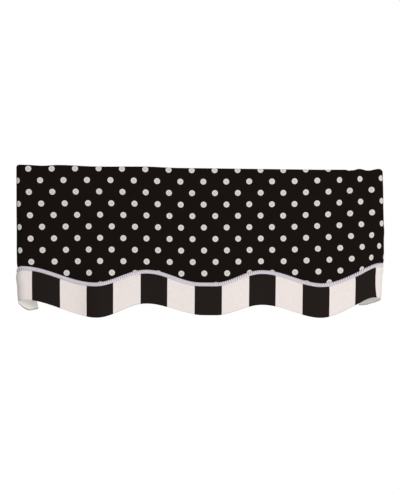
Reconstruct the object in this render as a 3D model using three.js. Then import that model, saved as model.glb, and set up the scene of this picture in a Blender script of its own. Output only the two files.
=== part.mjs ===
// Rod pocket valance, hung on a wide flat rod with returns to the wall.
// A dotted face panel ends in a scalloped seam with a twisted cord. A striped band hangs below it.
// A plain lining backs both, and a strip behind the top makes the rod pocket.
// Millimetres, +X to the viewer's right, +Y towards the wall, +Z up.
// The origin is the middle of the top edge, over the middle of the pocket.
//
// A place on the cloth has two sizes: s, measured along the cloth's width from its middle, and depth,
// measured down from the top. The cloth doesn't stretch, so s is true length at every depth.

import * as THREE from 'three';

// Cloth
const CLOTH_HALF = 635;
const FACE_SHEET = 1.2;
const LINING_SHEET = 1.0;
const SEAM_GAP = 0.3;

// Rod pocket
const POCKET_DEPTH = 14;
const POCKET_ROUND = POCKET_DEPTH / 2;
const POCKET_LIP = 7;
const POCKET_SEAM = 0.6;
const POCKET_BEND_FROM = 46;
const POCKET_BEND_TO = 72;
const POCKET_FOOT = 80;

// Cord in the scalloped seam, laid of three strands
const CORD_RIDGE = 5.6;
const CORD_GROOVE = 4.4;
const CORD_LEAD = 17;
const CORD_SIDES = 6;
const CORD_STEPS_PER_TURN = 6;
const CORD_ROUTE_STEP = 5;
const CORD_INSET = 1.5;
const CORD_ROOM = 0.5;
const CORD_LENGTH_SAMPLES = 2000;

// Hang of the cloth
const SEAM_SET_BACK = 3;
const SEAM_REACH = 10;
const LINING_EASE = 4.5;
const LINING_REACH = 16;
const HEM_LEAN = 4;
const HEM_LEVEL = 425;
const PLAN_STEP = 2;
const QUARTER_TURN = Math.PI / 2;
const DEGREE = Math.PI / 180;

// Turns of the scallop: where its curves are level, and how deep the cord's middle and the hem lie there
const SEAM_TURNS = [
  { s: -612, depth: 329 },
  { s: -505, depth: 285 },
  { s: -304, depth: 331 },
  { s: -158, depth: 295 },
  { s: -4, depth: 330.5 },
  { s: 36, depth: 330.5 },
  { s: 170, depth: 295 },
  { s: 344, depth: 331.5 },
  { s: 540, depth: 273.5 },
  { s: 635, depth: 308 },
];
const HEM_TURNS = [
  { s: -612, depth: 416.5 },
  { s: -499, depth: 374.5 },
  { s: -297, depth: 423 },
  { s: -158, depth: 385 },
  { s: 6, depth: 417.5 },
  { s: 38, depth: 417.5 },
  { s: 172, depth: 388.5 },
  { s: 345, depth: 424 },
  { s: 520, depth: 370 },
  { s: 635, depth: 402 },
];

// Top edge: it sags a little between the ends, and two small gathers ripple it at the right
const TOP_EDGE = [
  { s: -524, rise: 3.4 },
  { s: -494, rise: 2.6 },
  { s: -452, rise: 0.9 },
  { s: -403, rise: 3.5 },
  { s: -300, rise: 0.5 },
  { s: -160, rise: 1.9 },
  { s: -70, rise: -0.7 },
  { s: 330, rise: -0.7 },
  { s: 404, rise: 0.1 },
  { s: 429, rise: -2.1 },
  { s: 456, rise: 2.9 },
  { s: 480, rise: -1.4 },
  { s: 516, rise: 3.9 },
  { s: 552, rise: -4.0 },
  { s: 610, rise: -2.0 },
];

// Corners: where on the cloth each one lies at its depth, how round it is, and how many degrees its return
// swings in past square. The face breaks back by some degrees before the right corner.
const LEFT_CORNER = [
  { depth: 0, s: -521, radius: 18, swing: 0 },
  { depth: 90, s: -520.5, radius: 18, swing: 0 },
  { depth: 200, s: -520, radius: 20, swing: 3 },
  { depth: 285, s: -521.2, radius: 24, swing: 9 },
  { depth: 310, s: -524.6, radius: 27, swing: 11 },
  { depth: 345, s: -523.8, radius: 30, swing: 14 },
  { depth: 425, s: -521.2, radius: 32, swing: 20 },
];
const RIGHT_CORNER = [
  { depth: 0, s: 523, radius: 18, swing: 0, breakTurn: 0 },
  { depth: 90, s: 523.6, radius: 18, swing: 0, breakTurn: 0 },
  { depth: 150, s: 526.5, radius: 20, swing: 2, breakTurn: 2 },
  { depth: 185, s: 537, radius: 22, swing: 4, breakTurn: 9 },
  { depth: 215, s: 546, radius: 24, swing: 6, breakTurn: 21 },
  { depth: 285, s: 556.8, radius: 28, swing: 12, breakTurn: 27 },
  { depth: 310, s: 554.8, radius: 28, swing: 15, breakTurn: 28 },
  { depth: 345, s: 556.2, radius: 28, swing: 19, breakTurn: 29 },
  { depth: 425, s: 554, radius: 28, swing: 26, breakTurn: 30 },
];
const BREAK_AT = 458;
const BREAK_LENGTH = 30;

// Soft upright folds: place and half width on the cloth, and how far each stands out at five depths
const FOLD_LEVELS = [
  { depth: 0, column: 'top' },
  { depth: 80, column: 'foot' },
  { depth: 200, column: 'middle' },
  { depth: 310, column: 'seam' },
  { depth: 425, column: 'hem' },
];
const FOLDS = [
  { s: -440, half: 34, top: 0, foot: 0.4, middle: 1.2, seam: 2.0, hem: 3.5 },
  { s: -308, half: 62, top: 0, foot: 0.6, middle: 2.0, seam: 3.2, hem: 5.5 },
  { s: -158, half: 50, top: 0, foot: 0, middle: -0.8, seam: -1.8, hem: -3.5 },
  { s: -60, half: 38, top: 0, foot: 0.3, middle: 1.0, seam: 1.6, hem: 2.2 },
  { s: 50, half: 56, top: 0, foot: 0.3, middle: 1.2, seam: 2.2, hem: 3.0 },
  { s: 170, half: 46, top: 0, foot: 0, middle: -0.8, seam: -2.0, hem: -4.0 },
  { s: 330, half: 54, top: 0, foot: 0.5, middle: 1.8, seam: 3.2, hem: 6.0 },
  { s: 430, half: 20, top: 10.5, foot: 7.0, middle: 2.0, seam: 0, hem: 0 },
  { s: 492, half: 15, top: 4.5, foot: 4.0, middle: 2.5, seam: 1.0, hem: 0 },
];

// Columns of the cloth's faces, closest together round the corners and the gathers
const COLUMNS = [
  { to: -556, steps: 4 },
  { to: -486, steps: 13 },
  { to: 400, steps: 30 },
  { to: 505, steps: 12 },
  { to: 585, steps: 15 },
  { to: 635, steps: 4 },
];

// Level value of a table's column between two of its rows, eased as half a wave
function eased(table, axis, column, at) {
  const last = table[table.length - 1];
  if (at <= table[0][axis]) {
    return table[0][column];
  }
  if (at >= last[axis]) {
    return last[column];
  }
  const next = table.findIndex((row) => row[axis] > at);
  const low = table[next - 1];
  const high = table[next];
  const share = (at - low[axis]) / (high[axis] - low[axis]);
  return low[column] + (high[column] - low[column]) * (1 - Math.cos(Math.PI * share)) / 2;
}

function smooth(from, to, at) {
  const share = THREE.MathUtils.clamp((at - from) / (to - from), 0, 1);
  return share * share * (3 - 2 * share);
}

const cordDepth = (s) => eased(SEAM_TURNS, 's', 'depth', s);
const hemDepth = (s) => eased(HEM_TURNS, 's', 'depth', s);
const topRise = (s) => eased(TOP_EDGE, 's', 'rise', s);

// Half the height that the cord takes in the seam, more where the seam slopes
function seamHalf(s) {
  const slope = (cordDepth(s + 1) - cordDepth(s - 1)) / 2;
  return (CORD_RIDGE + CORD_ROOM) * Math.hypot(1, slope);
}

// A bend's share, from 0 before it to 1 after it, even along its length
function bend(s, middle, length) {
  return THREE.MathUtils.clamp((s - middle) / length + 0.5, 0, 1);
}

// Direction of the cloth's plan line at one depth, as a function of s: 0 along +X
function planHeading(depth) {
  const left = (column) => eased(LEFT_CORNER, 'depth', column, depth);
  const right = (column) => eased(RIGHT_CORNER, 'depth', column, depth);
  const breakTurn = right('breakTurn') * DEGREE;
  const leftTurn = QUARTER_TURN + left('swing') * DEGREE;
  const rightTurn = QUARTER_TURN + right('swing') * DEGREE - breakTurn;
  const leftAt = left('s');
  const leftLength = left('radius') * leftTurn;
  const rightAt = right('s');
  const rightLength = right('radius') * rightTurn;
  return (s) => leftTurn * (bend(s, leftAt, leftLength) - 1)
    + breakTurn * bend(s, BREAK_AT, BREAK_LENGTH)
    + rightTurn * bend(s, rightAt, rightLength);
}

// How far the folds stand out at one depth, and their slope, as a function of s
function foldShape(depth) {
  const sizes = FOLDS.map((fold) => {
    const levels = FOLD_LEVELS.map((level) => ({ depth: level.depth, stand: fold[level.column] }));
    return { s: fold.s, half: fold.half, stand: eased(levels, 'depth', 'stand', depth) };
  });
  return (s) => {
    const shape = { stand: 0, slope: 0 };
    for (const fold of sizes) {
      const off = (s - fold.s) / fold.half;
      const bump = fold.stand * Math.exp(-off * off);
      shape.stand += bump;
      shape.slope -= 2 * off / fold.half * bump;
    }
    return shape;
  };
}

// The plan line at one depth: its points, and its outward direction with and without the folds
function planAt(s, depth) {
  const heading = planHeading(depth);
  const folds = foldShape(depth);
  const steps = Math.max(1, Math.ceil(Math.abs(s) / PLAN_STEP));
  const step = s / steps;
  const line = new THREE.Vector3(0, -POCKET_DEPTH / 2, 0);
  for (let i = 0; i < steps; i += 1) {
    const middle = (i + 0.5) * step;
    const run = step * Math.cos(Math.asin(folds(middle).slope));
    line.x += run * Math.cos(heading(middle));
    line.y += run * Math.sin(heading(middle));
  }
  line.y += HEM_LEAN * (Math.max(0, depth) / HEM_LEVEL) ** 2;
  const turn = heading(s);
  const fold = folds(s);
  const tilted = turn - Math.asin(fold.slope);
  const plainOut = new THREE.Vector3(Math.sin(turn), -Math.cos(turn), 0);
  const out = new THREE.Vector3(Math.sin(tilted), -Math.cos(tilted), 0);
  return { line, plainOut, out, face: line.clone().addScaledVector(plainOut, fold.stand) };
}

// A pair of points, one on each side of a sheet
function through(middle, out, thickness) {
  return {
    outer: middle.clone().addScaledVector(out, thickness / 2),
    inner: middle.clone().addScaledVector(out, -thickness / 2),
  };
}

// A place on the face cloth's surface, set behind it by inset, and drawn back a little along the seam
function clothCell(s, depth, inset, thickness) {
  const plan = planAt(s, depth);
  const off = (depth - cordDepth(s)) / SEAM_REACH;
  const behind = inset + SEAM_SET_BACK * Math.exp(-off * off);
  const middle = plan.face.addScaledVector(plan.out, -behind);
  middle.z = -depth;
  return through(middle, plan.out, thickness);
}

// The face cloth where it turns over the rod: turn is 0 in front and half a turn behind
function overRodCell(s, turn, dropBehind) {
  const centre = topRise(s) - POCKET_ROUND;
  const plan = planAt(s, -centre);
  const share = (1 - Math.cos(turn)) / 2;
  const back = plan.line.clone().addScaledVector(plan.plainOut, -POCKET_DEPTH);
  const middle = plan.face.clone().lerp(back, share);
  middle.z = centre + POCKET_ROUND * Math.sin(turn) - dropBehind;
  const out = plan.out.clone().lerp(plan.plainOut, share).normalize().multiplyScalar(Math.cos(turn));
  out.z = Math.sin(turn);
  return through(middle, out, FACE_SHEET);
}

// The pocket's back wall: level with the rod's back above, and drawn in to the lining at its foot
function pocketCell(s, depth) {
  const plan = planAt(s, depth);
  const share = smooth(POCKET_BEND_FROM, POCKET_BEND_TO, depth);
  const footInset = FACE_SHEET + LINING_SHEET + 2 * SEAM_GAP;
  const back = plan.line.clone().addScaledVector(plan.plainOut, -POCKET_DEPTH);
  const foot = plan.face.clone().addScaledVector(plan.out, -footInset);
  const middle = back.lerp(foot, share);
  middle.z = -depth;
  const out = plan.plainOut.clone().lerp(plan.out, share).normalize();
  return through(middle, out, FACE_SHEET);
}

function columnPlaces() {
  const places = [-CLOTH_HALF];
  for (const stretch of COLUMNS) {
    const from = places[places.length - 1];
    for (let i = 1; i <= stretch.steps; i += 1) {
      places.push(from + (stretch.to - from) * i / stretch.steps);
    }
  }
  return places;
}
const PLACES = columnPlaces();

// A closed sheet from rows of paired points, each row from the left return to the right one
function sheetGeometry(rows) {
  const columns = PLACES.length;
  const points = [];
  for (const side of ['outer', 'inner']) {
    for (const row of rows) {
      row.forEach((cell) => points.push(cell[side].x, cell[side].y, cell[side].z));
    }
  }
  const outer = (r, c) => r * columns + c;
  const inner = (r, c) => rows.length * columns + outer(r, c);
  const index = [];
  const quad = (a, b, c, d) => index.push(a, b, c, a, c, d);
  const lastRow = rows.length - 1;
  const lastColumn = columns - 1;
  for (let r = 0; r < lastRow; r += 1) {
    for (let c = 0; c < lastColumn; c += 1) {
      quad(outer(r, c), outer(r + 1, c), outer(r + 1, c + 1), outer(r, c + 1));
      quad(inner(r + 1, c + 1), inner(r + 1, c), inner(r, c), inner(r, c + 1));
    }
    quad(outer(r + 1, 0), outer(r, 0), inner(r, 0), inner(r + 1, 0));
    quad(outer(r, lastColumn), outer(r + 1, lastColumn), inner(r + 1, lastColumn), inner(r, lastColumn));
  }
  for (let c = 0; c < lastColumn; c += 1) {
    quad(outer(0, c), outer(0, c + 1), inner(0, c + 1), inner(0, c));
    quad(outer(lastRow, c), inner(lastRow, c), inner(lastRow, c + 1), outer(lastRow, c + 1));
  }
  return closedGeometry(points, index);
}

function closedGeometry(points, index) {
  const geometry = new THREE.BufferGeometry();
  geometry.setAttribute('position', new THREE.Float32BufferAttribute(points, 3));
  geometry.setIndex(index);
  geometry.computeVertexNormals();
  return geometry;
}

// Rows of depth that the panel, the band and the lining share, so that they lie evenly behind each other
const PANEL_SHARES = [0.34, 0.68];
const SEAM_ROW = 7;
const BAND_SHARE = 0.5;
const panelEdge = (s) => cordDepth(s) - seamHalf(s);
const bandEdge = (s) => cordDepth(s) + seamHalf(s);
const aboveSeam = (s) => panelEdge(s) - SEAM_ROW;
const belowSeam = (s) => bandEdge(s) + SEAM_ROW;
const belowPocket = PANEL_SHARES.map((share) => (
  (s) => POCKET_FOOT + share * (aboveSeam(s) - POCKET_FOOT)));
const acrossBand = (s) => belowSeam(s) + BAND_SHARE * (hemDepth(s) - belowSeam(s));

const rowOf = (depthAt, insetAt, thickness) => (
  PLACES.map((s) => clothCell(s, depthAt(s), insetAt(s, depthAt(s)), thickness)));

function facePanel() {
  const turns = [1, 0.75, 0.5, 0.25, 0].map((share) => share * Math.PI);
  const overRod = turns.map((turn) => PLACES.map((s) => overRodCell(s, turn, 0)));
  const lip = PLACES.map((s) => overRodCell(s, Math.PI, POCKET_LIP));
  const depths = [
    () => POCKET_BEND_TO,
    () => POCKET_FOOT,
    ...belowPocket,
    aboveSeam,
    panelEdge,
  ];
  const front = depths.map((depthAt) => rowOf(depthAt, () => 0, FACE_SHEET));
  return sheetGeometry([lip, ...overRod, ...front]);
}

function pocketStrip() {
  const top = (s) => POCKET_ROUND + POCKET_LIP + POCKET_SEAM - topRise(s);
  const middle = (POCKET_BEND_FROM + POCKET_BEND_TO) / 2;
  const depths = [top, () => POCKET_BEND_FROM, () => middle, () => POCKET_BEND_TO, () => POCKET_FOOT];
  return sheetGeometry(depths.map((depthAt) => PLACES.map((s) => pocketCell(s, depthAt(s)))));
}

function stripedBand() {
  const depths = [bandEdge, belowSeam, acrossBand, hemDepth];
  return sheetGeometry(depths.map((depthAt) => rowOf(depthAt, () => 0, FACE_SHEET)));
}

// The lining lies close behind the face cloth at the pocket and the hem, and passes behind the cord
function liningInset(s, depth) {
  const off = (depth - cordDepth(s)) / LINING_REACH;
  return (FACE_SHEET + LINING_SHEET) / 2 + SEAM_GAP + LINING_EASE * Math.exp(-off * off);
}

function lining() {
  const depths = [
    () => POCKET_BEND_TO,
    () => POCKET_FOOT,
    ...belowPocket,
    aboveSeam,
    cordDepth,
    belowSeam,
    acrossBand,
    hemDepth,
  ];
  return sheetGeometry(depths.map((depthAt) => rowOf(depthAt, liningInset, LINING_SHEET)));
}

// The cord's middle line, between the panel's lower edge and the band's upper one
function cordRoute() {
  const steps = Math.round(2 * CLOTH_HALF / CORD_ROUTE_STEP);
  const points = [];
  for (let i = 0; i <= steps; i += 1) {
    const s = -CLOTH_HALF + i * 2 * CLOTH_HALF / steps;
    const cell = clothCell(s, cordDepth(s), CORD_INSET - SEAM_SET_BACK, 0);
    points.push(cell.outer);
  }
  const route = new THREE.CatmullRomCurve3(points);
  route.arcLengthDivisions = CORD_LENGTH_SAMPLES;
  return route;
}

// A three-strand cord: its section has a ridge at every other corner, and turns one corner at each step
function twistedCord() {
  const route = cordRoute();
  const steps = Math.round(route.getLength() / CORD_LEAD * CORD_STEPS_PER_TURN);
  const up = new THREE.Vector3(0, 0, 1);
  const points = [];
  for (let i = 0; i <= steps; i += 1) {
    const middle = route.getPointAt(i / steps);
    const along = route.getTangentAt(i / steps);
    const outward = along.clone().cross(up).normalize();
    const upward = outward.clone().cross(along);
    for (let k = 0; k < CORD_SIDES; k += 1) {
      const angle = 2 * Math.PI * k / CORD_SIDES;
      const radius = (i + k) % 2 === 0 ? CORD_RIDGE : CORD_GROOVE;
      const point = middle.clone()
        .addScaledVector(outward, radius * Math.cos(angle))
        .addScaledVector(upward, radius * Math.sin(angle));
      points.push(point.x, point.y, point.z);
    }
  }
  const corner = (i, k) => i * CORD_SIDES + k % CORD_SIDES;
  const index = [];
  for (let i = 0; i < steps; i += 1) {
    for (let k = 0; k < CORD_SIDES; k += 1) {
      index.push(corner(i, k), corner(i + 1, k), corner(i + 1, k + 1));
      index.push(corner(i, k), corner(i + 1, k + 1), corner(i, k + 1));
    }
  }
  for (let k = 1; k < CORD_SIDES - 1; k += 1) {
    index.push(corner(0, 0), corner(0, k), corner(0, k + 1));
    index.push(corner(steps, 0), corner(steps, k + 1), corner(steps, k));
  }
  return closedGeometry(points, index);
}

const clothMaterial = (color) => new THREE.MeshStandardMaterial({ color, roughness: 0.9, metalness: 0 });

const PIECES = [
  { name: 'face_panel', geometry: facePanel(), color: 0x211c19 },
  { name: 'pocket_strip', geometry: pocketStrip(), color: 0x211c19 },
  { name: 'striped_band', geometry: stripedBand(), color: 0xeee4de },
  { name: 'seam_cord', geometry: twistedCord(), color: 0xcdc6cb },
  { name: 'lining', geometry: lining(), color: 0xd9d2c8 },
];

const valance = new THREE.Group();
for (const piece of PIECES) {
  const mesh = new THREE.Mesh(piece.geometry, clothMaterial(piece.color));
  mesh.name = piece.name;
  valance.add(mesh);
}

export default valance;
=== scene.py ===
"""Lined rod pocket valance: dotted face, striped hem band and a twisted cord in the scalloped seam.

Metres, in the part's own frame. A place on the cloth has two sizes: s, its true distance from the middle
of the cloth's width, and depth, its level below the top edge.
"""

import math

import bpy
import numpy as np
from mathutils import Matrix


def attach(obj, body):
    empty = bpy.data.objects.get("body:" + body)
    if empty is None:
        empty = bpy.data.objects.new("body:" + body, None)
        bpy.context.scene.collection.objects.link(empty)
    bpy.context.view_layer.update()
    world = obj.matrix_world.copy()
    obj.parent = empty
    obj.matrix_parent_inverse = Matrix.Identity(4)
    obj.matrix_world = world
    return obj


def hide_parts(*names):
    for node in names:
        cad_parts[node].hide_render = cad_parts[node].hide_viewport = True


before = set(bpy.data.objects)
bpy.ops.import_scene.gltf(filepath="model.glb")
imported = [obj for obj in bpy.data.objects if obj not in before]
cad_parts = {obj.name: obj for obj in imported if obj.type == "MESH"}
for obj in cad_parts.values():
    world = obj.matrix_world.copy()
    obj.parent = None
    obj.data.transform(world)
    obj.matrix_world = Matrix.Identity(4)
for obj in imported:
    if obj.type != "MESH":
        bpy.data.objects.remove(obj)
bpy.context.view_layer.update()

# The camera stands a little to the left of the middle, level with the face
VIEW_FROM = math.radians(2.8)
VIEW_ROLL = math.radians(0.34)
VIEW_DISTANCE = 1.6
VIEW_LENS = 41.6
VIEW_SENSOR = 36.0
VIEW_MIDDLE = (-0.00725, -0.007, -0.2173)

# The surroundings look white and light the valance by less than that. Lamps: place, aim, width and height
SURROUND_LIGHT = 0.42
KEY_POWER = 163.0
KEY_LAMP = ((2.1, -4.7, 0.9), (0.0, 0.0, -0.25), 1.9, 1.5)
UNDER_POWER = 7.0
UNDER_LAMP = ((0.0, 0.1, -1.15), (0.0, 0.11, 0.0), 0.5, 0.5)
FLOOR_HALF = 2.0
FLOOR_LEVEL = -2.0

# Cloth: half its width, the sheets' thickness and the rod pocket
CLOTH_HALF = 0.635
FACE_SHEET = 0.0010
LINING_SHEET = 0.0008
POCKET_ROUND = 0.007
POCKET_LIP = 0.007
POCKET_SEAM = 0.0006
POCKET_BEND_FROM = 0.046
POCKET_BEND_TO = 0.072
POCKET_FOOT = 0.080
POCKET_INSET = 0.0028

# Stitches along the pocket's foot. Rise and sink are in thread radii
STITCH_DEPTH = 0.076
STITCH_PITCH = 0.004
STITCH_LENGTH = 0.003
STITCH_END = 0.006
STITCH_RINGS = 6
STITCH_RISE = 1.2
STITCH_SINK = 0.9
THREAD_RADIUS = 0.0002
THREAD_SIDES = 6
# A short step inwards, which shows the direction square to the cloth
SHORT_STEP = 0.001

# Rows and columns of the fine sheets
COLUMN_STEP = 0.003
LINING_COLUMN_STEP = 0.0035
ROD_ROWS = 8
FACE_ROWS = 84
POCKET_ROWS = 23
BAND_ROWS = 30
LINING_ROWS = 80

# Seam and its cord
CORD_ENVELOPE = 0.0056
STRAND_RADIUS = 0.0023
STRAND_SIDES = 10
CORD_LEAD = 0.017
CORD_INSET = 0.0015
SEAM_SET_BACK = 0.003
SEAM_REACH = 0.010
EDGE_UNDER_CORD = 0.0030
EDGE_ROOM = 0.0008
CORD_END = 0.0015
CORD_RINGS_PER_TURN = 14
CORD_SAMPLES = 2600
LINING_INSET = 0.0014
LINING_SHORT = 0.0004
LINING_EASE = 0.0085
LINING_REACH = 0.013

# Hang
HEM_LEAN = 0.004
HEM_LEVEL = 0.425
BREAK_AT = 0.458
BREAK_LENGTH = 0.030
QUARTER_TURN = math.pi / 2

# Where the scallop's curves are level: s, and the depth of the cord's middle or the hem there
SEAM_TURNS = [
    (-0.612, 0.3290), (-0.507, 0.2860), (-0.304, 0.3310), (-0.158, 0.2950), (-0.004, 0.3305),
    (0.036, 0.3305), (0.170, 0.2950), (0.344, 0.3315), (0.540, 0.2735), (0.635, 0.3080),
]
HEM_TURNS = [
    (-0.598, 0.4140), (-0.499, 0.3745), (-0.297, 0.4232), (-0.158, 0.3850), (0.006, 0.4175),
    (0.038, 0.4175), (0.172, 0.3885), (0.343, 0.4242), (0.512, 0.3690), (0.635, 0.4020),
]
# How much deeper the cord sits where it rounds the corners: s, depth behind its usual line
CORD_SINK = [
    (-0.570, 0.0), (-0.525, 0.0035), (-0.480, 0.0), (0.510, 0.0), (0.556, 0.0035), (0.600, 0.0),
]
# Rise of the top edge: s, rise
TOP_EDGE = [
    (-0.524, 0.0034), (-0.494, 0.0026), (-0.452, 0.0009), (-0.403, 0.0035), (-0.300, 0.0005),
    (-0.160, 0.0019), (-0.070, -0.0007), (0.330, -0.0007), (0.404, 0.0001), (0.429, -0.0021),
    (0.456, 0.0029), (0.480, -0.0014), (0.516, 0.0039), (0.552, -0.0040), (0.610, -0.0020),
]
# Corners where the returns begin: depth, s, radius, swing past square, and the turn of the break before it
LEFT_CORNER = [
    (0.000, -0.5210, 0.018, 0), (0.090, -0.5203, 0.018, 0), (0.200, -0.5199, 0.020, 3),
    (0.285, -0.5213, 0.024, 9), (0.310, -0.5247, 0.027, 11), (0.345, -0.5227, 0.030, 14),
    (0.425, -0.5199, 0.032, 20),
]
RIGHT_CORNER = [
    (0.000, 0.5235, 0.018, 0, 0), (0.090, 0.5235, 0.018, 0, 0), (0.150, 0.5267, 0.020, 2, 4),
    (0.200, 0.5439, 0.024, 6, 21), (0.285, 0.5569, 0.028, 16, 27), (0.310, 0.5541, 0.028, 21, 28),
    (0.345, 0.5563, 0.028, 28, 29), (0.425, 0.5540, 0.028, 42, 30),
]
# Soft upright folds: s, half width, and how far each stands out at the five levels
FOLD_LEVELS = (0.0, 0.080, 0.200, 0.310, 0.425)
FOLDS = [
    (-0.440, 0.034, 0, 0.0004, 0.0012, 0.0020, 0.0035),
    (-0.298, 0.036, 0, 0.0004, 0.0020, 0.0075, 0.0102),
    (-0.158, 0.050, 0, 0, -0.0008, -0.0018, -0.0035),
    (-0.105, 0.024, 0, 0.0002, 0.0006, 0.0016, 0.0022),
    (0.050, 0.056, 0, 0.0003, 0.0012, 0.0022, 0.0030),
    (0.170, 0.046, 0, 0, -0.0008, -0.0020, -0.0040),
    (0.328, 0.040, 0, 0.0004, 0.0018, 0.0074, 0.0096),
    (0.430, 0.020, 0.0105, 0.0070, 0.0020, 0, 0),
    (0.492, 0.015, 0.0045, 0.0040, 0.0025, 0.0010, 0),
]

# Print of the dots: rows of a square lattice turned 45 degrees
DOT_PITCH = 0.0649
DOT_ROW = 0.0325
DOT_FIRST_ROW = 0.0365
DOT_RADIUS = 0.0082
DOT_FIRST_PLACE = 0.0004
DOT_SLANT = 0.0189
DOT_SLANT_TO = 0.35
DOT_GREY_FROM = 0.002
DOT_GREY_TO = 0.0075
PRINT_EDGE = 0.0003
# How far the printed rows drop below level: s, drop
PRINT_DROP = [
    (-0.516, 0.0052), (-0.385, 0.0028), (-0.290, 0.0011), (-0.195, 0.0018), (-0.060, 0.0036),
    (0.066, 0.0020), (0.150, 0.0001), (0.230, -0.0002), (0.327, -0.0040), (0.390, -0.0065),
    (0.456, -0.0101), (0.513, -0.0131), (0.560, -0.0140),
]
# How far the cloth's stretch pulls the print to the left at the three levels: s, upper, middle, lower
PULL_LEVELS = (0.045, 0.140, 0.240)
PRINT_PULL = [
    (-0.530, 0.0015, -0.0042, -0.0068), (-0.500, 0.0020, -0.0010, -0.0020),
    (-0.370, 0.0026, -0.0017, -0.0014), (-0.270, 0.0018, -0.0008, 0.0012), (0.0, 0.0, 0.0, 0.0005),
    (0.250, -0.0015, 0.0007, 0.0003), (0.385, -0.0022, 0.0010, -0.0018),
    (0.420, 0.0028, 0.0022, -0.0024), (0.500, 0.0020, 0.0014, -0.0018), (0.530, 0.0035, 0.0040, 0.0020),
    (0.560, 0.0035, 0.0040, 0.0095),
]
# Stripes: widths, first join, how far the joins drift along the cloth, and how far the last join, between
# the two places, leans outwards on its way down to the hem and bows inwards half-way
BLACK_STRIPE = 0.075
IVORY_STRIPE = 0.078
FIRST_JOIN = -0.4762
LAST_JOIN_LEAN = 0.0055
LAST_JOIN_BOW = 0.0050
LEAN_FROM = 0.450
LEAN_TO = 0.500
STRIPE_DRIFT = [
    (-0.476, -0.0018), (-0.400, 0.0007), (-0.325, -0.0028), (-0.250, -0.0030), (-0.175, -0.0044),
    (-0.100, -0.0038), (-0.020, -0.0044), (0.060, -0.0018), (0.135, -0.0020), (0.210, -0.0005),
    (0.287, -0.0016), (0.364, 0.0021), (0.442, 0.0001), (0.512, -0.0001),
]

# Colours: display levels from 0 to 255, or linear where the colour is near black
DOT_PALE = (226, 221, 218)
DOT_GREY = (205, 199, 197)
FACE_BLACK = (0.0085, 0.0055, 0.0040, 1.0)
STRIPE_IVORY = (240, 230, 226)
STRIPE_BLACK = (0.0165, 0.0118, 0.0108, 1.0)
LINING_IVORY = (232, 228, 222)
# Painted shade of the yarn in the plies' hollows, then the yarn on the plies' tops
YARN_PLY_HOLLOW_SHADE = (236, 228, 237)
YARN_LIGHT = (250, 243, 251)
# Painted shade of the yarn in the grooves between the strands
PAINTED_GROOVE_SHADE = (104, 97, 104)
THREAD_BLACK = (0.006, 0.005, 0.005, 1.0)

# Weave: thread pitches, scales of the slubs' noise, and the slubs' tone and the painted shade in the threads'
# hollows, size and base
COTTON_PITCH = 0.0005
LINING_PITCH = 0.0004
SLUB_SLOW = 60.0
SLUB_FAST = 1600.0
SLUB_SHADE = (0.5, 0.72)
THREAD_HOLLOW_SHADE = (0.16, 0.92)
BUMP_HEIGHT = 0.0002
# Yarn of the cord: plies in a metre, their turns round a strand, and where the painted shade in the grooves
# starts and is full
PLY_COUNT = 330.0
PLY_SLANT = 7.0
GROOVE_SHADE_FROM = 0.85
GROOVE_SHADE_FULL = 0.3


def place_camera():
    """A level camera on the left of the middle, looking square at the object, rolled a third of a degree."""
    camera = bpy.data.objects.new("camera", bpy.data.cameras.new("camera"))
    bpy.context.scene.collection.objects.link(camera)
    camera.data.lens = VIEW_LENS
    camera.data.sensor_width = VIEW_SENSOR
    x, y, z = VIEW_MIDDLE
    side = -VIEW_DISTANCE * math.sin(VIEW_FROM)
    back = -VIEW_DISTANCE * math.cos(VIEW_FROM)
    camera.location = (x + side, y + back, z)
    camera.rotation_mode = "XYZ"
    camera.rotation_euler = (QUARTER_TURN, -VIEW_ROLL, -VIEW_FROM)
    bpy.context.scene.camera = camera


def eased(table, column, at):
    """Value of a table's column at a place, eased as half a wave between rows and level past the ends."""
    rows = np.array(table, float)
    places = rows[:, 0]
    values = rows[:, column]
    at = np.clip(at, places[0], places[-1])
    row = np.clip(np.searchsorted(places, at, side="right") - 1, 0, len(places) - 2)
    share = (at - places[row]) / (places[row + 1] - places[row])
    return values[row] + (values[row + 1] - values[row]) * (1 - np.cos(np.pi * share)) / 2


def straight(table, at):
    """Value of a two-column table at a place, straight between rows and level past the ends."""
    rows = np.array(table, float)
    return np.interp(at, rows[:, 0], rows[:, 1])


def smooth(low, high, at):
    """0 below low, 1 above high and a smooth S between them."""
    share = np.clip((at - low) / (high - low), 0, 1)
    return share * share * (3 - 2 * share)


def bend(s, middle, length):
    """Share of a bend, 0 before it and 1 after it, even along its length."""
    return np.clip((s - middle) / length + 0.5, 0, 1)


def cord_depth(s):
    """Depth of the cord's middle line."""
    return eased(SEAM_TURNS, 1, s)


def hem_depth(s):
    """Depth of the hem."""
    return eased(HEM_TURNS, 1, s)


def cord_inset(s):
    """How far the cord's middle lies behind the cloth's surface."""
    return CORD_INSET + eased(CORD_SINK, 1, s)


def top_rise(s):
    """Height of the top edge over the level line."""
    return eased(TOP_EDGE, 1, s)


def fold_shape(s, depth):
    """Sum of bumps size * exp(-((s - place) / half)^2), and the sum's slope along s."""
    stand = np.zeros(np.broadcast(s, depth).shape)
    slope = np.zeros(stand.shape)
    for row in FOLDS:
        levels = list(zip(FOLD_LEVELS, row[2:]))
        off = (s - row[0]) / row[1]
        bump = eased(levels, 1, depth) * np.exp(-off * off)
        stand += bump
        slope -= 2 * off / row[1] * bump
    return stand, slope


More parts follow.
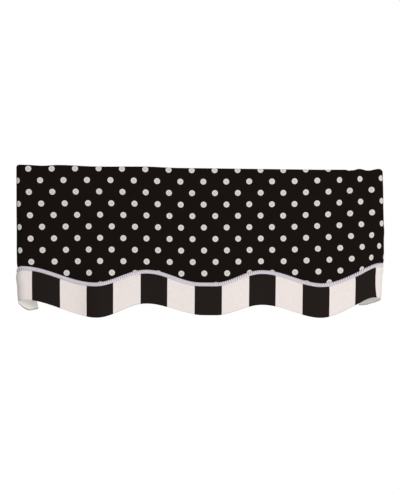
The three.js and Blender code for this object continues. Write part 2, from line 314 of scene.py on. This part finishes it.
def plan_heading(s, depth):
    """Direction of the cloth's plan line, 0 along +X: each corner's turn times its bend's share."""
    break_turn = np.radians(eased(RIGHT_CORNER, 4, depth))
    left_turn = QUARTER_TURN + np.radians(eased(LEFT_CORNER, 3, depth))
    right_turn = QUARTER_TURN + np.radians(eased(RIGHT_CORNER, 3, depth)) - break_turn
    left = bend(s, eased(LEFT_CORNER, 1, depth), eased(LEFT_CORNER, 2, depth) * left_turn)
    right = bend(s, eased(RIGHT_CORNER, 1, depth), eased(RIGHT_CORNER, 2, depth) * right_turn)
    return left_turn * (left - 1) + break_turn * bend(s, BREAK_AT, BREAK_LENGTH) + right_turn * right


class Plan:
    """The cloth's plan lines at even depths, summed from the middle outwards with true length along s.

    The columns stand each millimetre from -0.65 to 0.65, and the rows each 2.5 mm from -0.01 to 0.45.
    """

    def __init__(self):
        self.s = np.arange(-650, 651) / 1000.0
        self.depth = np.arange(-10, 452.5, 2.5) / 1000.0
        levels = self.depth[:, None]
        middles = (self.s[:-1] + self.s[1:]) / 2
        slope = fold_shape(middles[None, :], levels)[1]
        run = (self.s[1] - self.s[0]) * np.sqrt(1 - slope * slope)
        heading = plan_heading(middles[None, :], levels)
        self.x = self.summed(run * np.cos(heading))
        lean = HEM_LEAN * (np.maximum(0, levels) / HEM_LEVEL) ** 2
        self.y = self.summed(run * np.sin(heading)) - POCKET_ROUND + lean

    def summed(self, steps):
        """Running sum along s, 0 at the middle."""
        total = np.concatenate([np.zeros((len(self.depth), 1)), np.cumsum(steps, axis=1)], axis=1)
        zero = np.searchsorted(self.s, 0.0)
        return total - total[:, zero:zero + 1]

    def at(self, grid, s, depth):
        """Value between the grid's four nearest points."""
        i = np.clip((depth - self.depth[0]) / (self.depth[1] - self.depth[0]), 0, len(self.depth) - 1.001)
        j = np.clip((s - self.s[0]) / (self.s[1] - self.s[0]), 0, len(self.s) - 1.001)
        low_i = i.astype(int)
        low_j = j.astype(int)
        a = i - low_i
        b = j - low_j
        upper = grid[low_i, low_j] * (1 - b) + grid[low_i, low_j + 1] * b
        lower = grid[low_i + 1, low_j] * (1 - b) + grid[low_i + 1, low_j + 1] * b
        return upper * (1 - a) + lower * a


PLAN = Plan()


def hung(s, depth, inset):
    """A place on the hung cloth, moved in by inset.

    The plan line at that depth, plus the folds' stand outwards, minus the inset and the seam's set-back
    3 mm * exp(-((depth - cord) / 10 mm)^2), both square to the folded cloth.
    """
    s, depth, inset = np.broadcast_arrays(s, depth, inset)
    heading = plan_heading(s, depth)
    stand, slope = fold_shape(s, depth)
    tilted = heading - np.arcsin(slope)
    off = (depth - cord_depth(s)) / SEAM_REACH
    behind = inset + SEAM_SET_BACK * np.exp(-off * off)
    x = PLAN.at(PLAN.x, s, depth) + np.sin(heading) * stand - np.sin(tilted) * behind
    y = PLAN.at(PLAN.y, s, depth) - np.cos(heading) * stand + np.cos(tilted) * behind
    return np.stack([x, y, -depth], axis=-1)


def under_cord(s, depth):
    """How far a seam edge lies behind the seam's set-back to pass round the back of the cord.

    The cord's back is the circle inset + sqrt(R^2 - v^2) - SEAM_SET_BACK at a height v from its middle,
    with R the cord's radius and the edge's room.
    """
    radius = CORD_ENVELOPE + EDGE_ROOM
    rise = np.abs(depth - cord_depth(s))
    back = cord_inset(s) + np.sqrt(np.maximum(0, radius * radius - rise * rise)) - SEAM_SET_BACK
    return np.maximum(0, np.where(rise < radius, back, 0))


def columns(step):
    """Even places along the cloth's width."""
    count = round(2 * CLOTH_HALF / step)
    return np.linspace(-CLOTH_HALF, CLOTH_HALF, count + 1)


def square_out(middle):
    """Unit normals of a grid of points, outwards from the face: the rows' step crossed with the columns'."""
    down = np.gradient(middle, axis=0)
    along = np.gradient(middle, axis=1)
    out = np.cross(down, along)
    return out / np.linalg.norm(out, axis=-1, keepdims=True)


def mesh_object(name, points, quads, cloth=None):
    """A smooth mesh object of quads at the origin, with its cloth places in a point attribute."""
    mesh = bpy.data.meshes.new(name)
    mesh.from_pydata(points, [], quads)
    mesh.polygons.foreach_set("use_smooth", np.ones(len(mesh.polygons), bool))
    if cloth is not None:
        layer = mesh.attributes.new("cloth", "FLOAT_VECTOR", "POINT")
        layer.data.foreach_set("vector", np.ascontiguousarray(cloth, np.float32).ravel())
    mesh.update()
    piece = bpy.data.objects.new(name, mesh)
    bpy.context.scene.collection.objects.link(piece)
    return piece


def sheet_object(name, middle, thickness, cloth):
    """A closed sheet: the middle surface moved out and in by half the thickness, with a round rim.

    Rows go down and columns go right, seen from the front. The rim's middle ring is moved half a thickness
    past the edge, so the edge is round.
    """
    rows, cols = middle.shape[:2]
    out = square_out(middle)
    outer = middle + out * thickness / 2
    inner = middle - out * thickness / 2
    rim_places = ring_of(rows, cols)
    rim_i = np.array([place[0] for place in rim_places])
    rim_j = np.array([place[1] for place in rim_places])
    inward_i = np.clip(rim_i, 1, rows - 2)
    inward_j = np.clip(rim_j, 1, cols - 2)
    away = middle[rim_i, rim_j] - middle[inward_i, inward_j]
    away /= np.linalg.norm(away, axis=-1, keepdims=True)
    rim = middle[rim_i, rim_j] + away * thickness / 2
    points = np.concatenate([outer.reshape(-1, 3), inner.reshape(-1, 3), rim])
    places = cloth.reshape(-1, 3)
    backs = places.copy()
    backs[:, 2] += 1.0
    marks = np.concatenate([places, backs, cloth[rim_i, rim_j]])
    first_inner = rows * cols
    first_rim = 2 * rows * cols
    grid = np.arange(rows * cols).reshape(rows, cols)
    a, b, c, d = grid[:-1, :-1], grid[1:, :-1], grid[1:, 1:], grid[:-1, 1:]
    front = np.stack([a, b, c, d], axis=-1).reshape(-1, 4)
    back = np.stack([d, c, b, a], axis=-1).reshape(-1, 4) + first_inner
    ring = grid[rim_i, rim_j]
    after = np.roll(ring, -1)
    count = len(ring)
    mid = first_rim + np.arange(count)
    mid_after = np.roll(mid, -1)
    fore_rim = np.stack([ring, mid, mid_after, after], axis=-1)
    back_rim = np.stack([mid, ring + first_inner, after + first_inner, mid_after], axis=-1)
    quads = np.concatenate([front, back, fore_rim, back_rim])
    return mesh_object(name, points.tolist(), quads.tolist(), marks)


def ring_of(rows, cols):
    """The grid's border places in order: along the top, down the right, back along the foot, up the left."""
    top = [(0, j) for j in range(cols - 1)]
    right = [(i, cols - 1) for i in range(rows - 1)]
    foot = [(rows - 1, j) for j in range(cols - 1, 0, -1)]
    left = [(i, 0) for i in range(rows - 1, 0, -1)]
    return top + right + foot + left


def cloth_places(s, depth):
    """Plain places on the cloth: s across and the depth down."""
    s, depth = np.broadcast_arrays(s, depth)
    return np.stack([s, depth, np.zeros(s.shape)], axis=-1)


def print_pull(s, depth):
    """How far the cloth's own stretch pulls the print to the left: level between the three depths' values."""
    first, second, third = (eased(PRINT_PULL, column, s) for column in (1, 2, 3))
    low, middle, high = PULL_LEVELS
    upper = np.clip((depth - low) / (middle - low), 0, 1)
    lower = np.clip((depth - middle) / (high - middle), 0, 1)
    return first + (second - first) * upper + (third - second) * lower


def dot_places(s, depth):
    """Places in the dots' even lattice, which runs a little to the right on its way down."""
    s, depth = np.broadcast_arrays(s, depth)
    across = s - DOT_FIRST_PLACE - DOT_SLANT * np.clip(depth, 0, DOT_SLANT_TO) + print_pull(s, depth)
    down = (depth - DOT_FIRST_ROW - straight(PRINT_DROP, s)) * DOT_PITCH / 2 / DOT_ROW
    return np.stack([across, down, np.zeros(s.shape)], axis=-1)


def stripe_places(s, depth):
    """Place along the stripes, from the first join, with the joins' drift, lean and bow taken off."""
    s, depth = np.broadcast_arrays(s, depth)
    share = (depth - cord_depth(s)) / (hem_depth(s) - cord_depth(s))
    bent = LAST_JOIN_LEAN * (share - 0.5) + LAST_JOIN_BOW * (2 * share - 1) ** 2
    bent = bent * smooth(LEAN_FROM, LEAN_TO, s)
    return np.stack([s - FIRST_JOIN - straight(STRIPE_DRIFT, s) - bent, depth, np.zeros(s.shape)], axis=-1)


def face_cloth():
    """Dotted face: a lip behind the rod, half a turn over it, and the front down to the seam."""
    s = columns(COLUMN_STEP)
    lip = [(math.pi, drop) for drop in (POCKET_LIP, POCKET_LIP / 2)]
    over = [(turn, 0.0) for turn in np.linspace(math.pi, 0, ROD_ROWS + 1)[:-1]]
    rows = []
    marks = []
    for turn, drop in lip + over:
        centre = top_rise(s) - POCKET_ROUND
        heading = plan_heading(s, -centre)
        stand = fold_shape(s, -centre)[0]
        share = (1 - math.cos(turn)) / 2
        reach = stand * (1 - share) - 2 * POCKET_ROUND * share
        x = PLAN.at(PLAN.x, s, -centre) + np.sin(heading) * reach
        y = PLAN.at(PLAN.y, s, -centre) - np.cos(heading) * reach
        z = centre + POCKET_ROUND * math.sin(turn) - drop
        rows.append(np.stack([x, y, z], axis=-1))
        marks.append(-centre - POCKET_ROUND * turn - drop)
    start = POCKET_ROUND - top_rise(s)
    edge = cord_depth(s) - EDGE_UNDER_CORD
    for share in np.linspace(0, 1, FACE_ROWS):
        depth = start + share * (edge - start)
        rows.append(hung(s, depth, under_cord(s, depth)))
        marks.append(depth)
    middle = np.stack(rows)
    return sheet_object("dotted_face", middle, FACE_SHEET, dot_places(s[None, :], np.stack(marks)))


def pocket_back():
    """Back wall of the rod pocket: level with the rod's back, and drawn in to the lining at its foot."""
    s = columns(COLUMN_STEP)
    top = POCKET_ROUND + POCKET_LIP + POCKET_SEAM - top_rise(s)
    rows = []
    marks = []
    for share in np.linspace(0, 1, POCKET_ROWS):
        depth = top + share * (POCKET_FOOT - top)
        pull = smooth(POCKET_BEND_FROM, POCKET_BEND_TO, depth)
        heading = plan_heading(s, depth)
        back = np.stack([
            PLAN.at(PLAN.x, s, depth) - np.sin(heading) * 2 * POCKET_ROUND,
            PLAN.at(PLAN.y, s, depth) + np.cos(heading) * 2 * POCKET_ROUND,
            -depth,
        ], axis=-1)
        foot = hung(s, depth, POCKET_INSET)
        rows.append(back + (foot - back) * pull[:, None])
        marks.append(depth)
    middle = np.stack(rows)
    return sheet_object("dotted_pocket_back", middle, FACE_SHEET, dot_places(s[None, :], np.stack(marks)))


def striped_band():
    """Striped band from behind the cord down to the hem."""
    s = columns(COLUMN_STEP)
    edge = cord_depth(s) + EDGE_UNDER_CORD
    rows = []
    marks = []
    for share in np.linspace(0, 1, BAND_ROWS):
        depth = edge + share * (hem_depth(s) - edge)
        rows.append(hung(s, depth, under_cord(s, depth)))
        marks.append(depth)
    middle = np.stack(rows)
    return sheet_object("striped_hem_band", middle, FACE_SHEET, stripe_places(s[None, :], np.stack(marks)))


def back_lining():
    """Plain lining close behind the face and the band, eased round the back of the seam."""
    s = columns(LINING_COLUMN_STEP)
    rows = []
    marks = []
    for share in np.linspace(0, 1, LINING_ROWS):
        depth = POCKET_BEND_TO + share * (hem_depth(s) - LINING_SHORT - POCKET_BEND_TO)
        off = (depth - cord_depth(s)) / LINING_REACH
        ease = LINING_EASE - SEAM_SET_BACK + eased(CORD_SINK, 1, s)
        inset = LINING_INSET + ease * np.exp(-off * off)
        rows.append(hung(s, depth, inset))
        marks.append(depth)
    middle = np.stack(rows)
    return sheet_object("plain_back_lining", middle, LINING_SHEET, cloth_places(s[None, :], np.stack(marks)))


def strand_rings(path, arm):
    """Rings of points round a strand: path + radius * (cos(turn) * up + sin(turn) * side)."""
    course = np.gradient(path, axis=0)
    course /= np.linalg.norm(course, axis=1, keepdims=True)
    side = np.cross(course, arm)
    side /= np.linalg.norm(side, axis=1, keepdims=True)
    up = np.cross(side, course)
    turn = 2 * np.pi * np.arange(STRAND_SIDES) / STRAND_SIDES
    rings = (path[:, None] + STRAND_RADIUS * np.cos(turn)[None, :, None] * up[:, None]
             + STRAND_RADIUS * np.sin(turn)[None, :, None] * side[:, None])
    tips = np.stack([path[0] - course[0] * STRAND_RADIUS / 2, path[-1] + course[-1] * STRAND_RADIUS / 2])
    return rings, tips, turn


def tube_faces(rings, sides, first):
    """Quads between a tube's rings, and triangles to the two tips that follow its points."""
    i, j = np.meshgrid(np.arange(rings - 1), np.arange(sides), indexing="ij")
    a = (first + i * sides + j).ravel()
    b = (first + i * sides + (j + 1) % sides).ravel()
    quads = np.stack([a, b, b + sides, a + sides], axis=-1)
    k = np.arange(sides)
    after = (k + 1) % sides
    start_tip = np.full(sides, first + rings * sides)
    last = first + (rings - 1) * sides
    starts = np.stack([first + after, first + k, start_tip], axis=-1)
    ends = np.stack([last + k, last + after, start_tip + 1], axis=-1)
    return quads.tolist() + starts.tolist() + ends.tolist()


def twisted_cord():
    """Three round strands wound round the seam's line: angle = 2 pi (length / lead + k / 3)."""
    s = np.linspace(-CLOTH_HALF + CORD_END, CLOTH_HALF - CORD_END, CORD_SAMPLES)
    line = hung(s, cord_depth(s), cord_inset(s) - SEAM_SET_BACK)
    steps = np.linalg.norm(np.diff(line, axis=0), axis=1)
    run = np.concatenate([[0], np.cumsum(steps)])
    rings = round(run[-1] / CORD_LEAD * CORD_RINGS_PER_TURN) + 1
    at = np.linspace(0, run[-1], rings)
    centre = np.stack([np.interp(at, run, line[:, axis]) for axis in range(3)], axis=-1)
    along = np.gradient(centre, axis=0)
    along /= np.linalg.norm(along, axis=1, keepdims=True)
    outward = np.cross(along, np.array([0.0, 0.0, 1.0]))
    outward /= np.linalg.norm(outward, axis=1, keepdims=True)
    upward = np.cross(outward, along)
    points = []
    marks = []
    faces = []
    for strand in range(3):
        angle = 2 * np.pi * (at / CORD_LEAD + strand / 3)
        arm = outward * np.cos(angle)[:, None] + upward * np.sin(angle)[:, None]
        around, tips, turn = strand_rings(centre + arm * (CORD_ENVELOPE - STRAND_RADIUS), arm)
        length, angles = np.broadcast_arrays(at[:, None], turn[None, :])
        places = np.stack([length, np.cos(angles), np.sin(angles)], axis=-1)
        faces += tube_faces(rings, STRAND_SIDES, strand * (rings * STRAND_SIDES + 2))
        points += [around.reshape(-1, 3), tips]
        marks += [places.reshape(-1, 3), np.array([[at[0], 0.0, 0.0], [at[-1], 0.0, 0.0]])]
    return mesh_object("twisted_seam_cord", np.concatenate(points).tolist(), faces, np.concatenate(marks))


def pocket_stitches(name, inset):
    """A row of stitches through the pocket's foot, each a short thread that dips into the cloth at its ends.

    Along a stitch t runs from -1 to 1: its place is s + t * length / 2, and its middle line stands
    rise * (1 - t^4) - sink thread radii out of the surface at inset.
    """
    count = round((2 * CLOTH_HALF - 2 * STITCH_END) / STITCH_PITCH)
    middles = np.linspace(-CLOTH_HALF + STITCH_END, CLOTH_HALF - STITCH_END, count)
    t = np.linspace(-1, 1, STITCH_RINGS)
    s = middles[:, None] + t * STITCH_LENGTH / 2
    centre = hung(s, np.full(s.shape, STITCH_DEPTH), inset)
    raised = centre - hung(s, np.full(s.shape, STITCH_DEPTH), inset + SHORT_STEP)
    out = raised / np.linalg.norm(raised, axis=-1, keepdims=True)
    if inset > 0:
        out = -out
    centre = centre + out * (THREAD_RADIUS * (STITCH_RISE * (1 - t ** 4) - STITCH_SINK))[None, :, None]
    down = np.array([0.0, 0.0, -1.0])
    turn = 2 * np.pi * np.arange(THREAD_SIDES) / THREAD_SIDES
    rings = (centre[:, :, None] + THREAD_RADIUS * np.cos(turn)[:, None] * out[:, :, None]
             + THREAD_RADIUS * np.sin(turn)[:, None] * down)
    tips = centre[:, [0, -1]]
    points = np.concatenate([rings.reshape(count, -1, 3), tips], axis=1)
    faces = []
    each = points.shape[1]
    for stitch in range(count):
        faces += tube_faces(len(t), THREAD_SIDES, stitch * each)
    return mesh_object(name, points.reshape(-1, 3).tolist(), faces)


def socket(group, name, kind, way, value=None):
    """A new socket on a node group's interface."""
    made = group.interface.new_socket(name=name, in_out=way, socket_type=kind)
    if value is not None:
        made.default_value = value


def feed(tree, value, into):
    """Sets a socket to a number or a colour, or links another socket to it."""
    if isinstance(value, (int, float, tuple)):
        into.default_value = value
    else:
        tree.links.new(value, into)


def math_node(tree, operation, *values):
    """A math node fed by sockets or numbers; returns its value socket."""
    node = tree.nodes.new("ShaderNodeMath")
    node.operation = operation
    for place, value in enumerate(values):
        feed(tree, value, node.inputs[place])
    return node.outputs[0]


def dots_group():
    """Mask of the dots, on two square lattices half a pitch apart, and the distance to the nearest middle."""
    group = bpy.data.node_groups.new("dots", "ShaderNodeTree")
    socket(group, "Place", "NodeSocketVector", "INPUT")
    socket(group, "Dot", "NodeSocketFloat", "OUTPUT")
    socket(group, "Distance", "NodeSocketFloat", "OUTPUT")
    enter = group.nodes.new("NodeGroupInput")
    leave = group.nodes.new("NodeGroupOutput")
    split = group.nodes.new("ShaderNodeSeparateXYZ")
    group.links.new(enter.outputs["Place"], split.inputs[0])
    half = DOT_PITCH / 2
    spans = []
    for shift in (0.0, half):
        across = math_node(group, "WRAP", math_node(group, "SUBTRACT", split.outputs[0], shift), half, -half)
        down = math_node(group, "WRAP", math_node(group, "SUBTRACT", split.outputs[1], shift), half, -half)
        squares = math_node(group, "ADD", math_node(group, "MULTIPLY", across, across),
                            math_node(group, "MULTIPLY", down, down))
        spans.append(math_node(group, "SQRT", squares))
    nearest = math_node(group, "MINIMUM", spans[0], spans[1])
    edge = group.nodes.new("ShaderNodeMapRange")
    edge.interpolation_type = "SMOOTHSTEP"
    edge.inputs["From Min"].default_value = DOT_RADIUS + PRINT_EDGE
    edge.inputs["From Max"].default_value = DOT_RADIUS - PRINT_EDGE
    group.links.new(nearest, edge.inputs["Value"])
    group.links.new(edge.outputs["Result"], leave.inputs["Dot"])
    group.links.new(nearest, leave.inputs["Distance"])
    return group


def weave_group():
    """Plain weave with slubs.

    Thread, the weave's height, is half of 1 + sin(pi * x / pitch) * sin(pi * y / pitch). Slub, the slow
    change of shade along the threads, is the mean of two noises, each stretched along one thread's way.
    """
    group = bpy.data.node_groups.new("plain_weave", "ShaderNodeTree")
    socket(group, "Place", "NodeSocketVector", "INPUT")
    socket(group, "Pitch", "NodeSocketFloat", "INPUT", COTTON_PITCH)
    socket(group, "Thread", "NodeSocketFloat", "OUTPUT")
    socket(group, "Slub", "NodeSocketFloat", "OUTPUT")
    enter = group.nodes.new("NodeGroupInput")
    leave = group.nodes.new("NodeGroupOutput")
    split = group.nodes.new("ShaderNodeSeparateXYZ")
    group.links.new(enter.outputs["Place"], split.inputs[0])
    waves = []
    for axis in (0, 1):
        turns = math_node(group, "DIVIDE", split.outputs[axis], enter.outputs["Pitch"])
        waves.append(math_node(group, "SINE", math_node(group, "MULTIPLY", turns, math.pi)))
    over = math_node(group, "MULTIPLY", waves[0], waves[1])
    thread = math_node(group, "MULTIPLY_ADD", over, 0.5, 0.5)
    group.links.new(thread, leave.inputs["Thread"])
    slubs = []
    for stretch in ((SLUB_SLOW, SLUB_FAST, 0.0), (SLUB_FAST, SLUB_SLOW, 0.0)):
        scaled = group.nodes.new("ShaderNodeVectorMath")
        scaled.operation = "MULTIPLY"
        scaled.inputs[1].default_value = stretch
        group.links.new(enter.outputs["Place"], scaled.inputs[0])
        noise = group.nodes.new("ShaderNodeTexNoise")
        noise.inputs["Scale"].default_value = 1.0
        noise.inputs["Detail"].default_value = 2.0
        group.links.new(scaled.outputs[0], noise.inputs["Vector"])
        slubs.append(noise.outputs["Fac"])
    mixed = math_node(group, "MULTIPLY", math_node(group, "ADD", slubs[0], slubs[1]), 0.5)
    group.links.new(mixed, leave.inputs["Slub"])
    return group


def new_material(name):
    """A material with its own shader and output; returns the material, its tree and the shader."""
    material = bpy.data.materials.new(name)
    material.use_nodes = True
    tree = material.node_tree
    tree.nodes.clear()
    shader = tree.nodes.new("ShaderNodeBsdfPrincipled")
    output = tree.nodes.new("ShaderNodeOutputMaterial")
    tree.links.new(shader.outputs["BSDF"], output.inputs["Surface"])
    return material, tree, shader


def place_node(tree):
    """The cloth places that the mesh carries."""
    node = tree.nodes.new("ShaderNodeAttribute")
    node.attribute_name = "cloth"
    return node.outputs["Vector"]


def linear(red, green, blue):
    """Linear colour of a display colour given from 0 to 255."""
    def one(value):
        share = value / 255
        return share / 12.92 if share <= 0.04045 else ((share + 0.055) / 1.055) ** 2.4
    return (one(red), one(green), one(blue), 1.0)


def mix(tree, share, low, high):
    """Colour between low and high."""
    node = tree.nodes.new("ShaderNodeMix")
    node.data_type = "RGBA"
    for place, value in ((0, share), (6, low), (7, high)):
        feed(tree, value, node.inputs[place])
    return node.outputs[2]


def cotton(name, colour_of, group, pitch, bump, roughness):
    """Woven cotton: a colour toned by its slubs, with painted shade in the weave's hollows, and a small bump.
    """
    material, tree, shader = new_material(name)
    place = place_node(tree)
    weave = tree.nodes.new("ShaderNodeGroup")
    weave.node_tree = group
    weave.inputs["Pitch"].default_value = pitch
    tree.links.new(place, weave.inputs["Place"])
    colour = colour_of(tree, place)
    shade = math_node(tree, "MULTIPLY_ADD", weave.outputs["Slub"], *SLUB_SHADE)
    # Painted shade: the colour is darker where the weave's height is low
    thread = math_node(tree, "MULTIPLY_ADD", weave.outputs["Thread"], *THREAD_HOLLOW_SHADE)
    both = math_node(tree, "MULTIPLY", shade, thread)
    grey = tree.nodes.new("ShaderNodeCombineColor")
    for channel in range(3):
        tree.links.new(both, grey.inputs[channel])
    shaded = tree.nodes.new("ShaderNodeMix")
    shaded.data_type = "RGBA"
    shaded.blend_type = "MULTIPLY"
    shaded.inputs[0].default_value = 1.0
    feed(tree, colour, shaded.inputs[6])
    tree.links.new(grey.outputs[0], shaded.inputs[7])
    tree.links.new(shaded.outputs[2], shader.inputs["Base Color"])
    raised = tree.nodes.new("ShaderNodeBump")
    raised.inputs["Strength"].default_value = bump
    raised.inputs["Distance"].default_value = BUMP_HEIGHT
    tree.links.new(weave.outputs["Thread"], raised.inputs["Height"])
    tree.links.new(raised.outputs["Normal"], shader.inputs["Normal"])
    shader.inputs["Roughness"].default_value = roughness
    shader.inputs["Specular IOR Level"].default_value = 0.05
    return material


def dotted_colour(dots):
    """Colour of the dotted cotton: near black, with pale dots a little greyer in the middle."""
    def colour_of(tree, place):
        node = tree.nodes.new("ShaderNodeGroup")
        node.node_tree = dots
        tree.links.new(place, node.inputs["Place"])
        middle = tree.nodes.new("ShaderNodeMapRange")
        middle.inputs["From Min"].default_value = DOT_GREY_FROM
        middle.inputs["From Max"].default_value = DOT_GREY_TO
        tree.links.new(node.outputs["Distance"], middle.inputs["Value"])
        pale = mix(tree, middle.outputs["Result"], linear(*DOT_GREY), linear(*DOT_PALE))
        return mix(tree, node.outputs["Dot"], FACE_BLACK, pale)
    return colour_of


def striped_colour(tree, place):
    """Colour of the striped cotton: black for the first part of each pair of stripes, ivory for the rest."""
    split = tree.nodes.new("ShaderNodeSeparateXYZ")
    tree.links.new(place, split.inputs[0])
    along = math_node(tree, "WRAP", split.outputs[0], BLACK_STRIPE + IVORY_STRIPE, 0.0)
    from_middle = math_node(tree, "ABSOLUTE", math_node(tree, "SUBTRACT", along, BLACK_STRIPE / 2))
    black = tree.nodes.new("ShaderNodeMapRange")
    black.interpolation_type = "SMOOTHSTEP"
    black.inputs["From Min"].default_value = BLACK_STRIPE / 2 + PRINT_EDGE
    black.inputs["From Max"].default_value = BLACK_STRIPE / 2 - PRINT_EDGE
    tree.links.new(from_middle, black.inputs["Value"])
    return mix(tree, black.outputs["Result"], linear(*STRIPE_IVORY), STRIPE_BLACK)


def lining_colour(tree, place):
    """Colour of the plain lining, the same all over."""
    return linear(*LINING_IVORY)


def cord_material():
    """Pale lavender yarn: fine slanted plies on each strand with painted shade in their hollows, and painted
    shade in the grooves between the strands.

    The ply wave is sin(2 pi * count * length + slant * angle round the strand). The painted shade in the
    grooves grows with the point's turn away from the cord's outside.
    """
    material, tree, shader = new_material("twisted_cord")
    split = tree.nodes.new("ShaderNodeSeparateXYZ")
    tree.links.new(place_node(tree), split.inputs[0])
    run = math_node(tree, "MULTIPLY", split.outputs[0], 2 * math.pi * PLY_COUNT)
    angle = math_node(tree, "ARCTAN2", split.outputs[2], split.outputs[1])
    slant = math_node(tree, "MULTIPLY", angle, PLY_SLANT)
    ply = math_node(tree, "SINE", math_node(tree, "ADD", run, slant))
    share = math_node(tree, "MULTIPLY_ADD", ply, 0.5, 0.5)
    # Painted shade: the yarn is darker where the plies are low
    yarn = mix(tree, share, linear(*YARN_PLY_HOLLOW_SHADE), linear(*YARN_LIGHT))
    # Painted shade: the yarn turns darker in the grooves between the strands, away from the cord's outside
    groove_shade = tree.nodes.new("ShaderNodeMapRange")
    groove_shade.interpolation_type = "SMOOTHSTEP"
    groove_shade.inputs["From Min"].default_value = GROOVE_SHADE_FROM
    groove_shade.inputs["From Max"].default_value = GROOVE_SHADE_FULL
    tree.links.new(split.outputs[1], groove_shade.inputs["Value"])
    shaded = mix(tree, groove_shade.outputs["Result"], yarn, linear(*PAINTED_GROOVE_SHADE))
    tree.links.new(shaded, shader.inputs["Base Color"])
    raised = tree.nodes.new("ShaderNodeBump")
    raised.inputs["Strength"].default_value = 0.5
    raised.inputs["Distance"].default_value = BUMP_HEIGHT
    tree.links.new(share, raised.inputs["Height"])
    tree.links.new(raised.outputs["Normal"], shader.inputs["Normal"])
    shader.inputs["Roughness"].default_value = 0.6
    shader.inputs["Specular IOR Level"].default_value = 0.3
    return material


def thread_material():
    """Plain black sewing thread."""
    material, tree, shader = new_material("black_thread")
    shader.inputs["Base Color"].default_value = THREAD_BLACK
    shader.inputs["Roughness"].default_value = 0.6
    shader.inputs["Specular IOR Level"].default_value = 0.2
    return material


def light(name, stand, power):
    """A soft rectangular lamp at a place, facing another."""
    place, aim, width, height = stand
    data = bpy.data.lights.new(name, "AREA")
    data.shape = "RECTANGLE"
    data.size = width
    data.size_y = height
    data.energy = power
    lamp = bpy.data.objects.new(name, data)
    bpy.context.scene.collection.objects.link(lamp)
    lamp.location = place
    away = np.array(aim, float) - np.array(place, float)
    away /= np.linalg.norm(away)
    lamp.rotation_mode = "XYZ"
    tilt = math.acos(-away[2])
    spin = math.atan2(-away[0], away[1])
    lamp.rotation_euler = (tilt, 0.0, spin)


def studio():
    """White surroundings, a key lamp from the front right, a weak one from below and a pale floor."""
    world = bpy.data.worlds.new("studio")
    world.use_nodes = True
    tree = world.node_tree
    shown = tree.nodes["Background"]
    shown.inputs["Color"].default_value = (1.0, 1.0, 1.0, 1.0)
    shown.inputs["Strength"].default_value = 1.0
    lit = tree.nodes.new("ShaderNodeBackground")
    lit.inputs["Color"].default_value = (1.0, 1.0, 1.0, 1.0)
    lit.inputs["Strength"].default_value = SURROUND_LIGHT
    seen = tree.nodes.new("ShaderNodeLightPath")
    either = tree.nodes.new("ShaderNodeMixShader")
    tree.links.new(seen.outputs["Is Camera Ray"], either.inputs[0])
    tree.links.new(lit.outputs[0], either.inputs[1])
    tree.links.new(shown.outputs[0], either.inputs[2])
    tree.links.new(either.outputs[0], tree.nodes["World Output"].inputs["Surface"])
    bpy.context.scene.world = world
    light("key", KEY_LAMP, KEY_POWER)
    light("under", UNDER_LAMP, UNDER_POWER)
    signs = ((-1, -1), (1, -1), (1, 1), (-1, 1))
    corners = [(x * FLOOR_HALF, y * FLOOR_HALF, FLOOR_LEVEL) for x, y in signs]
    floor = mesh_object("floor", corners, [(0, 1, 2, 3)])
    material, tree, shader = new_material("pale_floor")
    shader.inputs["Base Color"].default_value = (0.8, 0.8, 0.8, 1.0)
    shader.inputs["Roughness"].default_value = 0.9
    floor.data.materials.append(material)


bpy.context.scene.view_settings.view_transform = "Standard"
place_camera()
studio()

weave = weave_group()
dots = dots_group()
dotted = cotton("dotted_cotton", dotted_colour(dots), weave, COTTON_PITCH, 0.25, 0.85)
striped = cotton("striped_cotton", striped_colour, weave, COTTON_PITCH, 0.25, 0.85)
plain = cotton("plain_lining", lining_colour, weave, LINING_PITCH, 0.2, 0.9)

face = face_cloth()
pocket = pocket_back()
band = striped_band()
lining = back_lining()
cord = twisted_cord()
front_stitches = pocket_stitches("front_pocket_stitches", -FACE_SHEET / 2)
back_stitches = pocket_stitches("back_pocket_stitches", POCKET_INSET + FACE_SHEET / 2)

for piece, node, material, slot in (
    (face, "face_panel", dotted, "dotted_cotton"),
    (pocket, "pocket_strip", dotted, "dotted_cotton"),
    (band, "striped_band", striped, "striped_cotton"),
    (lining, "lining", plain, "plain_lining"),
    (cord, "seam_cord", cord_material(), "twisted_cord"),
):
    piece.data.materials.append(material)
    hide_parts(node)
    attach(piece, "root")

thread = thread_material()
for piece in (front_stitches, back_stitches):
    piece.data.materials.append(thread)
    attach(piece, "root")
